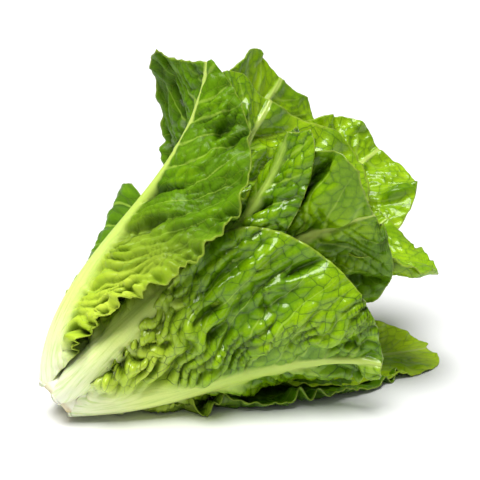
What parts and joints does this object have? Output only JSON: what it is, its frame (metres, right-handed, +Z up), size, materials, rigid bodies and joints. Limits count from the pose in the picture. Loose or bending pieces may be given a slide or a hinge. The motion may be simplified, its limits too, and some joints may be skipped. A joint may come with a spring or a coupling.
{
  "type": "cos lettuce",
  "caption": "Head of cos lettuce lying on its side: upright leaves with thick pale ribs, loosely open, spreading from a flat cut stem.",
  "frame": {"origin": "middle of the head's bounding box in plan, on the surface that it lies on", "axes": "+X runs along the surface from the cut stem towards the leaf tips, turned 25 degrees from the stem's own heading; +Z is up"},
  "size_m": [0.2628, 0.199, 0.2129],
  "materials": {
    "table_leaf": "waxy leaf, veined and softly glossy",
    "upper_outer_leaf": "waxy leaf, veined and softly glossy",
    "front_outer_leaf": "waxy leaf, veined and softly glossy",
    "front_middle_leaf": "waxy leaf, veined and softly glossy",
    "low_back_leaf": "waxy leaf, veined and softly glossy",
    "upper_back_leaf": "waxy leaf, veined and softly glossy",
    "back_outer_leaf": "waxy leaf, veined and softly glossy",
    "tall_back_leaf": "waxy leaf, veined and softly glossy",
    "front_right_leaf": "waxy leaf, veined and softly glossy",
    "right_back_leaf": "waxy leaf, veined and softly glossy",
    "right_low_leaf": "waxy leaf, veined and softly glossy",
    "inner_back_leaf": "waxy leaf, veined and softly glossy",
    "heart_leaf_1": "waxy leaf, veined and softly glossy",
    "heart_leaf_2": "waxy leaf, veined and softly glossy",
    "heart_leaf_3": "waxy leaf, veined and softly glossy",
    "stem": "matte, fresh-cut flesh browned at the cut"
  },
  "bodies": {
    "root": {"table_leaf": "table_leaf", "upper_outer_leaf": "upper_outer_leaf", "front_outer_leaf": "front_outer_leaf", "front_middle_leaf": "front_middle_leaf", "low_back_leaf": "low_back_leaf", "upper_back_leaf": "upper_back_leaf", "back_outer_leaf": "back_outer_leaf", "tall_back_leaf": "tall_back_leaf", "front_right_leaf": "front_right_leaf", "right_back_leaf": "right_back_leaf", "right_low_leaf": "right_low_leaf", "inner_back_leaf": "inner_back_leaf", "heart_leaf_1": "heart_leaf_1", "heart_leaf_2": "heart_leaf_2", "heart_leaf_3": "heart_leaf_3", "stem": "stem"}
  },
  "joints": []
}
